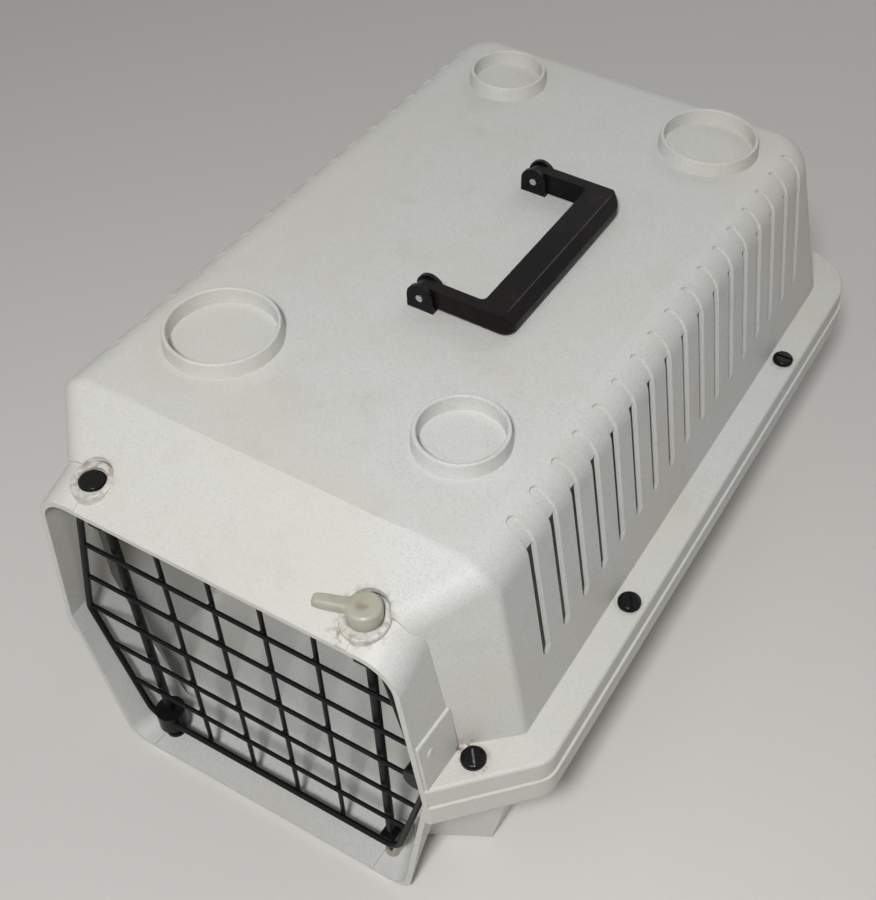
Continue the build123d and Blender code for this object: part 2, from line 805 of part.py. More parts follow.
# Door frame: one closed wire with six bends
with BuildPart() as door_frame:
    with BuildLine(Plane.XZ.offset(-frame_y)) as frame_path:
        FilletPolyline(
            (door_bottom_half_width, door_bottom),
            (door_mid_half_width, parting_height),
            (door_top_half_width, door_top),
            (-door_top_half_width, door_top),
            (-door_mid_half_width, parting_height),
            (-door_bottom_half_width, door_bottom),
            radius=door_corner_radius,
            close=True,
        )
    with BuildSketch(Plane(origin=frame_path.line @ 0, z_dir=frame_path.line % 0)):
        Circle(frame_radius)
    sweep()
door_frame.part.label = "door_frame"
export_step(door_frame.part, "parts/door_frame.step")

# Cross bars, which end inside the frame wire
with BuildPart() as door_crossbars:
    for z in bar_heights:
        with BuildSketch(Plane.YZ.offset(-frame_half_width(z))):
            with Locations((crossbar_y, z)):
                Circle(bar_radius)
        extrude(amount=2 * frame_half_width(z))
door_crossbars.part.label = "door_crossbars"
export_step(door_crossbars.part, "parts/door_crossbars.step")

# Upright bars, welded behind the cross bars and both rails
with BuildPart() as door_uprights:
    with BuildSketch(Plane.XY.offset(door_bottom - frame_radius)):
        with Locations(((hinge_x + latch_x) / 2, upright_y)):
            with GridLocations(upright_pitch, 0, upright_count, 1):
                Circle(bar_radius)
    extrude(amount=door_top - door_bottom + 2 * frame_radius)
door_uprights.part.label = "door_uprights"
export_step(door_uprights.part, "parts/door_uprights.step")

# Hinge rod
with BuildPart() as hinge_rod:
    with BuildSketch(Plane.XY.offset(hinge_rod_bottom)):
        with Locations(rod_places[0]):
            Circle(rod_radius)
    extrude(amount=rod_top - hinge_rod_bottom)
hinge_rod.part.label = "hinge_rod"
export_step(hinge_rod.part, "parts/hinge_rod.step")

# Latch rod, flattened at its top for the lever and at its foot for the slotted seat
with BuildPart() as latch_rod:
    with BuildSketch(Plane.XY.offset(latch_rod_bottom)):
        with Locations(rod_places[1]):
            Circle(rod_radius)
    extrude(amount=rod_top - latch_rod_bottom)
    for low in (latch_rod_bottom, rod_top - key_length):
        with BuildSketch(Plane.XY.offset(low)):
            with Locations(rod_places[1]):
                Rectangle(2 * rod_radius, 2 * rod_radius)
                Rectangle(key_thickness, 2 * rod_radius, mode=Mode.SUBTRACT)
        extrude(amount=key_length, mode=Mode.SUBTRACT)
latch_rod.part.label = "latch_rod"
export_step(latch_rod.part, "parts/latch_rod.step")

# Domed plug that carries the hinge rod's top
with BuildPart() as hinge_bushing_top:
    with BuildSketch(Plane.XY.offset(hinge_plug_bottom)):
        with Locations(rod_places[0]):
            Circle(hinge_plug_radius)
    extrude(amount=boss_top + hinge_plug_rise - hinge_plug_bottom)
    fillet(hinge_bushing_top.faces().sort_by(Axis.Z)[-1].edges(), hinge_plug_dome)
    with BuildSketch(Plane.XY.offset(hinge_plug_bottom)):
        with Locations(rod_places[0]):
            Circle(rod_radius + running_clearance)
    extrude(amount=rod_top + rod_end_gap - hinge_plug_bottom, mode=Mode.SUBTRACT)
hinge_bushing_top.part.label = "hinge_bushing_top"
export_step(hinge_bushing_top.part, "parts/hinge_bushing_top.step")

# Flanged bushing in the floor for the hinge rod's foot
with BuildPart() as hinge_bushing_bottom:
    with BuildSketch(Plane.XY.offset(hinge_rod_bottom - 2 * rod_end_gap)):
        with Locations(rod_places[0]):
            Circle(hinge_foot_spigot)
    extrude(amount=floor_top - hinge_rod_bottom + 2 * rod_end_gap)
    with BuildSketch(Plane.XY.offset(floor_top)):
        with Locations(rod_places[0]):
            Circle(hinge_foot_radius)
    extrude(amount=hinge_foot_height)
    with BuildSketch(Plane.XY.offset(hinge_rod_bottom - rod_end_gap)):
        with Locations(rod_places[0]):
            Circle(rod_radius + running_clearance)
    extrude(amount=floor_top + hinge_foot_height, mode=Mode.SUBTRACT)
hinge_bushing_bottom.part.label = "hinge_bushing_bottom"
export_step(hinge_bushing_bottom.part, "parts/hinge_bushing_bottom.step")

# Block that ties the hinge rod to the bottom rail, with a tapered neck below it
with BuildPart() as hinge_block:
    with BuildSketch(Plane.XY.offset(hinge_block_neck_bottom)):
        with Locations(rod_places[0]):
            Circle(hinge_block_neck_radius)
    with BuildSketch(Plane.XY.offset(hinge_block_bottom)):
        with Locations(rod_places[0]):
            Circle(hinge_block_radius)
    loft()
    with BuildSketch(Plane.XY.offset(hinge_block_bottom)):
        with Locations(rod_places[0]):
            Circle(hinge_block_radius)
    extrude(amount=hinge_block_top - hinge_block_bottom)
    add(hinge_rod.part, mode=Mode.SUBTRACT)
    add(door_frame.part, mode=Mode.SUBTRACT)
hinge_block.part.label = "hinge_block"
export_step(hinge_block.part, "parts/hinge_block.step")

# Clips that tie both rods to the top rail
with BuildPart() as rod_clips_top:
    with BuildSketch(Plane.XY.offset(door_top - clip_top_height / 2)):
        with Locations(*[(x, (clip_front + clip_back) / 2) for x, y in rod_places]):
            RectangleRounded(clip_width, clip_back - clip_front, clip_corner_radius)
        with Locations(*rod_places):
            Circle(rod_radius + running_clearance, mode=Mode.SUBTRACT)
    extrude(amount=clip_top_height)
    add(door_frame.part, mode=Mode.SUBTRACT)
rod_clips_top.part.label = "rod_clips_top"
export_step(rod_clips_top.part, "parts/rod_clips_top.step")

# Clip that ties the latch rod to the bottom rail from behind
with BuildPart() as latch_clip_bottom:
    with BuildSketch(Plane.XY.offset(clip_bottom_low)):
        with Locations((latch_x, frame_y)):
            Rectangle(clip_width, clip_back - frame_y, align=(Align.CENTER, Align.MIN))
        with Locations(rod_places[1]):
            Circle(rod_radius + running_clearance, mode=Mode.SUBTRACT)
    extrude(amount=clip_bottom_high - clip_bottom_low)
    add(door_frame.part, mode=Mode.SUBTRACT)
latch_clip_bottom.part.label = "latch_clip_bottom"
export_step(latch_clip_bottom.part, "parts/latch_clip_bottom.step")

# Bumper pad at the latch end of the middle cross bar
with BuildPart() as door_bumper:
    with BuildSketch(Plane.XZ.offset(-frame_y - bumper_depth / 2)):
        with Locations(
            ((bumper_inner + bumper_outer) / 2, bar_heights[bar_count // 2] + bumper_rise)
        ):
            SlotOverall(bumper_height, bumper_outer - bumper_inner, rotation=90)
    extrude(amount=bumper_depth)
    fillet(door_bumper.faces().sort_by(Axis.Y)[0].edges(), bumper_edge_radius)
    add(door_frame.part, mode=Mode.SUBTRACT)
    add(door_crossbars.part, mode=Mode.SUBTRACT)
door_bumper.part.label = "door_bumper"
export_step(door_bumper.part, "parts/door_bumper.step")

# Latch lever: a drum with an arm, a stem through the boss and a lip that snaps below it
with BuildPart() as latch_lever:
    with BuildSketch(Plane.XY.offset(lever_bottom)):
        with Locations(rod_places[1]):
            Circle(lever_lip_radius)
    extrude(amount=lever_lip_height)
    with BuildSketch(Plane.XY.offset(lever_bottom)):
        with Locations(rod_places[1]):
            Circle(lever_stem_radius)
    extrude(amount=boss_top + lever_seat_gap - lever_bottom)
    with BuildSketch(Plane.XY.offset(boss_top + lever_seat_gap)):
        with Locations(rod_places[1]):
            Circle(lever_drum_radius)
    extrude(amount=lever_drum_height)
    with BuildSketch(Plane.XY.offset(lever_top - lever_arm_height)):
        with Locations(Location((*rod_places[1], 0), (0, 0, lever_arm_angle))):
            Rectangle(lever_arm_length, lever_arm_width, align=(Align.MIN, Align.CENTER))
        fillet(vertices().group_by(Axis.X)[0], lever_tip_radius)
        fillet(vertices().sort_by(Axis.Y)[0], lever_tip_radius)
    extrude(amount=lever_arm_height)
    fillet(latch_lever.faces().sort_by(Axis.Z)[-1].edges(), lever_edge_radius)
    with BuildSketch(Plane.XY.offset(lever_top)):
        with Locations(Location((*rod_places[1], 0), (0, 0, lever_arm_angle))):
            SlotOverall(lever_recess_length, lever_recess_width)
    extrude(amount=-lever_recess_depth, mode=Mode.SUBTRACT)
    with BuildSketch(Plane.XY.offset(lever_bottom)):
        with Locations((latch_x, rod_y + rod_radius + key_play)):
            Rectangle(key_thickness + 2 * key_play, 2 * lever_lip_radius, align=(Align.CENTER, Align.MAX))
    extrude(amount=rod_top + rod_end_gap - lever_bottom, mode=Mode.SUBTRACT)
latch_lever.part.label = "latch_lever"
export_step(latch_lever.part, "parts/latch_lever.step")

# Slotted seat in the floor, which the latch rod's keyed foot can leave only when unlocked
with BuildPart() as latch_seat_bottom:
    with BuildSketch(Plane.XY.offset(seat_spigot_end)):
        with Locations(rod_places[1]):
            Circle(seat_spigot_radius)
    extrude(amount=floor_top - seat_spigot_end)
    with BuildSketch(Plane.XY.offset(floor_top)):
        with Locations(rod_places[1]):
            Circle(seat_radius)
            Rectangle(2 * seat_radius, seat_length, align=(Align.CENTER, Align.MIN))
    extrude(amount=seat_top - floor_top)
    with BuildSketch(Plane.XY.offset(latch_rod_bottom - rod_end_gap)):
        with Locations(rod_places[1]):
            Circle(rod_radius + key_play)
            Rectangle(key_thickness + 2 * seat_gap, 2 * seat_radius, align=(Align.CENTER, Align.MAX))
    extrude(amount=seat_top - latch_rod_bottom + rod_end_gap, mode=Mode.SUBTRACT)
    add(lower_shell.part, mode=Mode.SUBTRACT)
latch_seat_bottom.part.label = "latch_seat_bottom"
export_step(latch_seat_bottom.part, "parts/latch_seat_bottom.step")
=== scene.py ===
# %% [markdown]
# # A plastic pet carrier
# The carrier has two white plastic shells bolted together at a flange, a black wire door that
# hinges on one rod and latches with another, and a black bail handle on the roof.
# Its measured solids come in as a fixed frame, in metres, and everything below is set on them.

import json
import math

import bpy
import numpy as np
from mathutils import Matrix, Vector


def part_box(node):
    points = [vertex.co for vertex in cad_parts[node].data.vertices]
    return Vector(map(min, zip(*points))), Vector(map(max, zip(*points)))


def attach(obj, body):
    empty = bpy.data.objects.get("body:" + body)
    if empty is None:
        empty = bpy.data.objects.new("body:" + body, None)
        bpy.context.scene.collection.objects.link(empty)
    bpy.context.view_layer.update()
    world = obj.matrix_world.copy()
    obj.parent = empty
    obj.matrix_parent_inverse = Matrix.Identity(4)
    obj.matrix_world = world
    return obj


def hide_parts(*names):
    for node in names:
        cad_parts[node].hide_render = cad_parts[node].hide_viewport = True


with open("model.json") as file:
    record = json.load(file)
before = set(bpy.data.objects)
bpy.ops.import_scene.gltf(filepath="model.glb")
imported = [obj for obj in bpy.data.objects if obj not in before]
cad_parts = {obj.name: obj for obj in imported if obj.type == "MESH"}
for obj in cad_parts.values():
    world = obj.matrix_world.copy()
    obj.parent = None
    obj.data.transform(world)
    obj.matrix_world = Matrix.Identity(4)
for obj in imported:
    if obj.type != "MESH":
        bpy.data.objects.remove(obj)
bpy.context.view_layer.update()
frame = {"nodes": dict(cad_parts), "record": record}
nodes = frame["nodes"]
scene = bpy.context.scene

# %% [markdown]
# ## The camera
# The photograph was taken from in front of the doorway's right corner, looking down.
# The camera's place, turn and focal length were found from the straight edges and the evenly
# spaced slots, so the render has the same perspective. The optical axis isn't in the middle of
# the frame, which the lens shift makes up for.

# %% Place the camera
MM = 0.001
IMAGE_WIDTH = 876
IMAGE_HEIGHT = 900
CAMERA_PLACE = Vector((290.8, -483.2, 686.0)) * MM
CAMERA_AZIMUTH = math.radians(26.33)
CAMERA_ELEVATION = math.radians(46.86)
CAMERA_ROLL = math.radians(3.22)
FOCAL_PIXELS = 1280.05
AXIS_PIXEL = (557.24, 443.73)
SENSOR = 36.0
NEAREST_SEEN = 0.01

back = Vector((
    math.sin(CAMERA_AZIMUTH) * math.cos(CAMERA_ELEVATION),
    -math.cos(CAMERA_AZIMUTH) * math.cos(CAMERA_ELEVATION),
    math.sin(CAMERA_ELEVATION),
))
level_right = (-back).cross(Vector((0, 0, 1))).normalized()
level_up = level_right.cross(-back)
right = level_right * math.cos(CAMERA_ROLL) + level_up * math.sin(CAMERA_ROLL)
up = level_up * math.cos(CAMERA_ROLL) - level_right * math.sin(CAMERA_ROLL)
camera_data = bpy.data.cameras.new("camera")
camera_data.sensor_fit = "HORIZONTAL"
camera_data.sensor_width = SENSOR
camera_data.lens = FOCAL_PIXELS * SENSOR / IMAGE_WIDTH
camera_data.shift_x = (IMAGE_WIDTH / 2 - AXIS_PIXEL[0]) / IMAGE_WIDTH
camera_data.shift_y = (AXIS_PIXEL[1] - IMAGE_HEIGHT / 2) / IMAGE_WIDTH
camera_data.clip_start = NEAREST_SEEN
camera = bpy.data.objects.new("camera", camera_data)
camera.matrix_world = Matrix((
    (right.x, up.x, back.x, CAMERA_PLACE.x),
    (right.y, up.y, back.y, CAMERA_PLACE.y),
    (right.z, up.z, back.z, CAMERA_PLACE.z),
    (0, 0, 0, 1),
))
scene.collection.objects.link(camera)
scene.camera = camera
scene.view_settings.view_transform = "Standard"
shift = (round(camera_data.shift_x, 4), round(camera_data.shift_y, 4))
print("lens", round(camera_data.lens, 2), "shift", shift)

# %% [markdown]
# ## Floor and background
# A pale floor and backdrop keep attention on the carrier. The world lights softly from all
# round, and the backdrop's white is shown only to camera, glossy and transmission rays, so it
# adds no light. A large wall behind the carrier would look the same, but throw light of its own.

# %% Helpers for node trees


def add(tree, kind, values=None, **settings):
    """A node of a kind, with its properties set and constants on its input sockets."""
    node = tree.nodes.new(kind)
    for name, value in settings.items():
        setattr(node, name, value)
    for label, value in (values or {}).items():
        node.inputs[label].default_value = value
    return node


def wire(tree, source, target):
    """A link from an output socket to an input socket."""
    tree.links.new(source, target)


# %% Build the floor
FLOOR_HALF = 4.0
FLOOR_COLOR = (0.70, 0.68, 0.65, 1.0)
FLOOR_ROUGHNESS = 0.8

floor_mesh = bpy.data.meshes.new("floor")
corners = [(x * FLOOR_HALF, y * FLOOR_HALF, 0) for x, y in ((-1, -1), (1, -1), (1, 1), (-1, 1))]
floor_mesh.from_pydata(corners, [], [(0, 1, 2, 3)])
floor = bpy.data.objects.new("floor", floor_mesh)
scene.collection.objects.link(floor)
floor_material = bpy.data.materials.new("floor")
floor_material.use_nodes = True
shader = floor_material.node_tree.nodes["Principled BSDF"]
shader.inputs["Base Color"].default_value = FLOOR_COLOR
shader.inputs["Roughness"].default_value = FLOOR_ROUGHNESS
floor_mesh.materials.append(floor_material)
print("floor", 2 * FLOOR_HALF, "m wide")

# %% Light the world and whiten the backdrop
BACKDROP_COLOR = (0.86, 0.86, 0.85, 1.0)
AMBIENT_COLOR = (1, 1, 1, 1)
AMBIENT = 0.15

world = bpy.data.worlds.new("studio")
world.use_nodes = True
scene.world = world
tree = world.node_tree
background = tree.nodes["Background"]
background.inputs["Color"].default_value = AMBIENT_COLOR
background.inputs["Strength"].default_value = AMBIENT
backdrop = add(tree, "ShaderNodeBackground", {"Color": BACKDROP_COLOR})
path = add(tree, "ShaderNodeLightPath")
seen = path.outputs["Is Camera Ray"]
for ray in ("Is Glossy Ray", "Is Transmission Ray"):
    either = add(tree, "ShaderNodeMath", operation="MAXIMUM")
    wire(tree, seen, either.inputs[0])
    wire(tree, path.outputs[ray], either.inputs[1])
    seen = either.outputs[0]
chooser = add(tree, "ShaderNodeMixShader")
wire(tree, seen, chooser.inputs[0])
wire(tree, background.outputs[0], chooser.inputs[1])
wire(tree, backdrop.outputs[0], chooser.inputs[2])
wire(tree, chooser.outputs[0], tree.nodes["World Output"].inputs["Surface"])
print("ambient", AMBIENT)

# %% [markdown]
# ## Lamps
# One soft lamp beside the camera stands in for the flash of the photograph, so the bars throw
# their shadows onto the floor inside. A broad one opens up the left side, and another the back.

# %% Place the lamps: name, place, target, size in metres and power in watts
LAMPS = [
    ("key", (0.31, -0.80, 1.16), (0, -0.04, 0.14), 0.15, 11.5),
    ("fill", (-0.7, -1.5, 1.6), (0, 0, 0.12), 1.4, 3),
    ("rear", (0.3, 1.6, 1.4), (0, 0, 0.12), 1.1, 5),
]


def area_lamp(name, place, target, size, power):
    """A square soft lamp at a place, turned towards a target."""
    data = bpy.data.lights.new(name, "AREA")
    data.size = size
    data.energy = power
    lamp = bpy.data.objects.new(name, data)
    lamp.location = place
    aim = Vector(target) - Vector(place)
    lamp.rotation_euler = aim.to_track_quat("-Z", "Y").to_euler()
    scene.collection.objects.link(lamp)


for lamp_values in LAMPS:
    area_lamp(*lamp_values)

# %% [markdown]
# ## Shared effects
# Moulded plastic is never one flat colour. These effects are node groups with named sockets, so
# each material below can use them with its own values. They put out only masks and normals.

# %% Helpers for node groups


def new_group(name, inputs, outputs):
    """A shader node group with float or vector sockets, given as {name: default}."""
    group = bpy.data.node_groups.new(name, "ShaderNodeTree")
    for label, default in inputs.items():
        kind = "NodeSocketVector" if isinstance(default, tuple) else "NodeSocketFloat"
        socket = group.interface.new_socket(name=label, in_out="INPUT", socket_type=kind)
        socket.default_value = default
    for label, kind in outputs.items():
        group.interface.new_socket(name=label, in_out="OUTPUT", socket_type=kind)
    return group, add(group, "NodeGroupInput"), add(group, "NodeGroupOutput")


def fade(tree, source, low, high, rising=True):
    """A mask that goes smoothly from 0 to 1, or from 1 to 0, as the source goes from low to high.

    The two ends are numbers or sockets.
    """
    node = add(tree, "ShaderNodeMapRange", clamp=True, interpolation_type="SMOOTHSTEP")
    if not rising:
        node.inputs["To Min"].default_value = 1.0
        node.inputs["To Max"].default_value = 0.0
    for label, end in (("From Min", low), ("From Max", high)):
        if isinstance(end, float):
            node.inputs[label].default_value = end
        else:
            wire(tree, end, node.inputs[label])
    wire(tree, source, node.inputs["Value"])
    return node.outputs["Result"]


def near_place(tree, given):
    """A mask that is 1 up to the inner radius round the place, and 0 from the outer radius on."""
    reach = add(tree, "ShaderNodeVectorMath", operation="DISTANCE")
    wire(tree, given.outputs["Vector"], reach.inputs[0])
    wire(tree, given.outputs["Place"], reach.inputs[1])
    inner, outer = given.outputs["Inner"], given.outputs["Outer"]
    return fade(tree, reach.outputs["Value"], inner, outer, rising=False)


ORIGIN = (0.0, 0.0, 0.0)

# %% Fleck: fine dark specks in the plastic
FLECK_EDGE, FLECK_CORE = 0.62, 0.28
fleck, given, result = new_group(
    "fleck", {"Vector": ORIGIN, "Size": 0.0012, "Amount": 0.3}, {"Mask": "NodeSocketFloat"}
)
size_vector = add(fleck, "ShaderNodeCombineXYZ")
for axis in "XYZ":
    wire(fleck, given.outputs["Size"], size_vector.inputs[axis])
scaled = add(fleck, "ShaderNodeVectorMath", operation="DIVIDE")
wire(fleck, given.outputs["Vector"], scaled.inputs[0])
wire(fleck, size_vector.outputs[0], scaled.inputs[1])
cells = add(fleck, "ShaderNodeTexVoronoi", {"Scale": 1.0}, feature="F1")
wire(fleck, scaled.outputs[0], cells.inputs["Vector"])
chosen = add(fleck, "ShaderNodeSeparateColor")
wire(fleck, cells.outputs["Color"], chosen.inputs[0])
is_dark = add(fleck, "ShaderNodeMath", operation="LESS_THAN")
wire(fleck, chosen.outputs[0], is_dark.inputs[0])
wire(fleck, given.outputs["Amount"], is_dark.inputs[1])
fleck_mask = add(fleck, "ShaderNodeMath", operation="MULTIPLY")
wire(fleck, is_dark.outputs[0], fleck_mask.inputs[0])
wire(fleck, fade(fleck, cells.outputs["Distance"], FLECK_EDGE, FLECK_CORE), fleck_mask.inputs[1])
wire(fleck, fleck_mask.outputs[0], result.inputs["Mask"])

# %% Cloud: broad uneven patches
cloud, given, result = new_group(
    "cloud", {"Vector": ORIGIN, "Scale": 9.0, "Low": 0.4, "High": 0.65}, {"Mask": "NodeSocketFloat"}
)
clouds = add(cloud, "ShaderNodeTexNoise", {"Detail": 5.0, "Roughness": 0.6})
wire(cloud, given.outputs["Vector"], clouds.inputs["Vector"])
wire(cloud, given.outputs["Scale"], clouds.inputs["Scale"])
patchy = fade(cloud, clouds.outputs["Fac"], given.outputs["Low"], given.outputs["High"])
wire(cloud, patchy, result.inputs["Mask"])

# %% Grain: the fine pebbled texture of a sparked mould, as a normal
grain, given, result = new_group(
    "grain", {"Vector": ORIGIN, "Scale": 900.0, "Depth": 0.00005}, {"Normal": "NodeSocketVector"}
)
pebbles = add(grain, "ShaderNodeTexNoise", {"Detail": 3.0})
wire(grain, given.outputs["Vector"], pebbles.inputs["Vector"])
wire(grain, given.outputs["Scale"], pebbles.inputs["Scale"])
relief = add(grain, "ShaderNodeBump", {"Strength": 1.0})
wire(grain, given.outputs["Depth"], relief.inputs["Distance"])
wire(grain, pebbles.outputs["Fac"], relief.inputs["Height"])
wire(grain, relief.outputs["Normal"], result.inputs["Normal"])

# %% Collar of grime: broken dirt round a place
CLEAN_BELOW, DIRTY_ABOVE = 0.47, 0.62
grime, given, result = new_group(
    "grime_ring",
    {"Vector": ORIGIN, "Place": ORIGIN, "Inner": 0.008, "Outer": 0.014},
    {"Mask": "NodeSocketFloat"},
)
patches = add(grime, "ShaderNodeTexNoise", {"Scale": 260.0, "Detail": 4.0})
wire(grime, given.outputs["Vector"], patches.inputs["Vector"])
grime_mask = add(grime, "ShaderNodeMath", operation="MULTIPLY")
wire(grime, near_place(grime, given), grime_mask.inputs[0])
wire(grime, fade(grime, patches.outputs["Fac"], CLEAN_BELOW, DIRTY_ABOVE), grime_mask.inputs[1])
wire(grime, grime_mask.outputs[0], result.inputs["Mask"])

# %% Worn spot: a soft round patch, solid in the middle
worn_spot, given, result = new_group(
    "worn_spot",
    {"Vector": ORIGIN, "Place": ORIGIN, "Inner": 0.002, "Outer": 0.005},
    {"Mask": "NodeSocketFloat"},
)
wire(worn_spot, near_place(worn_spot, given), result.inputs["Mask"])
print("groups", [g.name for g in bpy.data.node_groups])

# %% [markdown]
# ## Materials
# The Principled shader stays in each material, with its colour, roughness and normal worked out
# from the groups. A colour is a base with layers, each of which is a Mix node that turns the
# colour so far towards the layer's tone, by a mask times an amount.

# %% Helpers for materials


def start_material(name, roughness, **constants):
    """A material with its Principled shader, object coordinates and constant values."""
    material = bpy.data.materials.new(name)
    material.use_nodes = True
    tree = material.node_tree
    shader = tree.nodes["Principled BSDF"]
    shader.inputs["Roughness"].default_value = roughness
    for label, value in constants.items():
        shader.inputs[label.replace("_", " ")].default_value = value
    coordinates = add(tree, "ShaderNodeTexCoord")
    return material, tree, shader, coordinates.outputs["Object"]


def use(tree, group, vector, **values):
    """The output of a group that is fed with coordinates and its own values."""
    node = add(tree, "ShaderNodeGroup", node_tree=group)
    wire(tree, vector, node.inputs["Vector"])
    for label, value in values.items():
        node.inputs[label].default_value = value
    return node.outputs[0]


def tone(tree, base, mask, color, amount):
    """The base colour turned towards another colour by a mask times an amount."""
    share = add(tree, "ShaderNodeMath", operation="MULTIPLY")
    share.inputs[1].default_value = amount
    wire(tree, mask, share.inputs[0])
    node = add(tree, "ShaderNodeMix", data_type="RGBA")
    wire(tree, share.outputs[0], node.inputs["Factor"])
    if isinstance(base, tuple):
        node.inputs["A"].default_value = base
    else:
        wire(tree, base, node.inputs["A"])
    node.inputs["B"].default_value = color
    return node.outputs["Result"]


def paint(tree, shader, vector, base, layers):
    """Wire up a base colour with layers, given as (group, values, colour, amount)."""
    color = base
    for group, values, layer_color, amount in layers:
        color = tone(tree, color, use(tree, group, vector, **values), layer_color, amount)
    wire(tree, color, shader.inputs["Base Color"])


def set_roughness(tree, shader, mask, smooth, rough):
    """Wire up a roughness that goes from smooth to rough with a mask."""
    node = add(tree, "ShaderNodeMapRange", {"To Min": smooth, "To Max": rough})
    wire(tree, mask, node.inputs["Value"])
    wire(tree, node.outputs["Result"], shader.inputs["Roughness"])


def set_grain(tree, shader, vector, scale, depth):
    """Wire up the grain of the surface, with a scale per metre and a depth in metres."""
    wire(tree, use(tree, grain, vector, Scale=scale, Depth=depth), shader.inputs["Normal"])


# %% [markdown]
# ### The white plastic of the shells
# The shells are moulded in white plastic with fine grey flecks. They have yellowed in patches,
# and dirt has gathered round the bosses and bolts. A picture of such a surface would have to be
# unwrapped onto the shells, so the flecks are cells of two sizes and the patches are noise, all
# in object coordinates, and each dirty place is named.

# %% Where dirt gathers on the shells: centre, inner and outer radius in metres, and strength
GRIMY_PLACES = [
    ((-0.076, -0.2307, 0.229), 0.0085, 0.0135, 0.55),
    ((0.078, -0.2307, 0.228), 0.0105, 0.0165, 0.5),
    ((0.070, -0.2410, 0.221), 0.0020, 0.0075, 0.70),
    ((0.124, -0.2183, 0.127), 0.0068, 0.0100, 0.45),
    ((0.1175, -0.2155, 0.128), 0.0030, 0.0065, 0.95),
    ((0.148, -0.0967, 0.127), 0.0066, 0.0100, 0.25),
    ((0.148, 0.1251, 0.127), 0.0066, 0.0100, 0.25),
]

# %% White shell plastic with grey flecks, yellowed patches, smudges and dirt
SHELL_WHITE = (0.62, 0.625, 0.60, 1.0)
FLECK_GREY = (0.38, 0.38, 0.36, 1.0)
FINE_FLECK_GREY = (0.40, 0.40, 0.38, 1.0)
YELLOWED = (0.58, 0.55, 0.48, 1.0)
SMUDGE = (0.44, 0.41, 0.36, 1.0)
GRIME = (0.24, 0.18, 0.12, 1.0)
shell_layers = [
    (fleck, {"Size": 0.0009, "Amount": 0.30}, FLECK_GREY, 0.34),
    (fleck, {"Size": 0.00045, "Amount": 0.42}, FINE_FLECK_GREY, 0.36),
    (cloud, {"Scale": 7.0, "Low": 0.42, "High": 0.62}, YELLOWED, 0.45),
    (cloud, {"Scale": 38.0, "Low": 0.55, "High": 0.72}, SMUDGE, 0.16),
]
for center, inner, outer, amount in GRIMY_PLACES:
    shell_layers.append((grime, {"Place": center, "Inner": inner, "Outer": outer}, GRIME, amount))
shell_plastic, tree, shader, place = start_material("shell_plastic", roughness=0.42)
paint(tree, shader, place, SHELL_WHITE, shell_layers)
sheen = use(tree, cloud, place, Scale=22.0, Low=0.35, High=0.7)
set_roughness(tree, shader, sheen, smooth=0.50, rough=0.64)
set_grain(tree, shader, place, scale=1400.0, depth=0.00005)

# %% [markdown]
# ### The black plastics
# The screws, brackets and bushings are a satin black that holds a little dust. The handle is a
# browner black that the hand has rubbed. One even black would look like a hole in the picture, so
# each has low patches of a lighter tone.

# %% Black plastic of the screws, brackets and bushings
BLACK, WORN_BLACK = (0.005, 0.005, 0.006, 1.0), (0.012, 0.011, 0.011, 1.0)
DUST = (0.08, 0.075, 0.07, 1.0)
black_plastic, tree, shader, place = start_material(
    "black_plastic", roughness=0.24, Specular_IOR_Level=0.12
)
paint(tree, shader, place, BLACK, [
    (cloud, {"Scale": 60.0, "Low": 0.45, "High": 0.7}, WORN_BLACK, 0.7),
    (fleck, {"Size": 0.0005, "Amount": 0.10}, DUST, 0.25),
])
set_grain(tree, shader, place, scale=1500.0, depth=0.00006)

# %% Black plastic of the handle, browner and rubbed where the hand goes
HANDLE_BLACK, HANDLE_BROWN = (0.004, 0.004, 0.005, 1.0), (0.010, 0.007, 0.006, 1.0)
RUBBED = (0.018, 0.016, 0.014, 1.0)
RUBBED_PATCHES = {"Scale": 120.0, "Low": 0.5, "High": 0.75}
handle_plastic, tree, shader, place = start_material(
    "handle_plastic", roughness=0.32, Specular_IOR_Level=0.09
)
paint(tree, shader, place, HANDLE_BLACK, [
    (cloud, {"Scale": 26.0, "Low": 0.4, "High": 0.68}, HANDLE_BROWN, 0.9),
    (cloud, RUBBED_PATCHES, RUBBED, 0.35),
])
rubbed = use(tree, cloud, place, **RUBBED_PATCHES)
set_roughness(tree, shader, rubbed, smooth=0.24, rough=0.42)
set_grain(tree, shader, place, scale=1300.0, depth=0.00008)

# %% [markdown]
# ### Wire, nylon and steel
# The door's wires have a black coat that is scuffed in places. The latch is milky nylon that lets
# some light in, so it has a little subsurface scattering instead of a plain pale colour. The pins
# are scratched steel.

# %% Black coated wire of the door
CHALKY_COAT, RUSTY_COAT = (0.014, 0.012, 0.011, 1.0), (0.04, 0.028, 0.018, 1.0)
black_wire, tree, shader, place = start_material(
    "black_wire", roughness=0.34, Specular_IOR_Level=0.13
)
paint(tree, shader, place, BLACK, [
    (cloud, {"Scale": 220.0, "Low": 0.5, "High": 0.72}, CHALKY_COAT, 0.6),
    (cloud, {"Scale": 45.0, "Low": 0.58, "High": 0.75}, RUSTY_COAT, 0.3),
])
set_grain(tree, shader, place, scale=900.0, depth=0.00007)

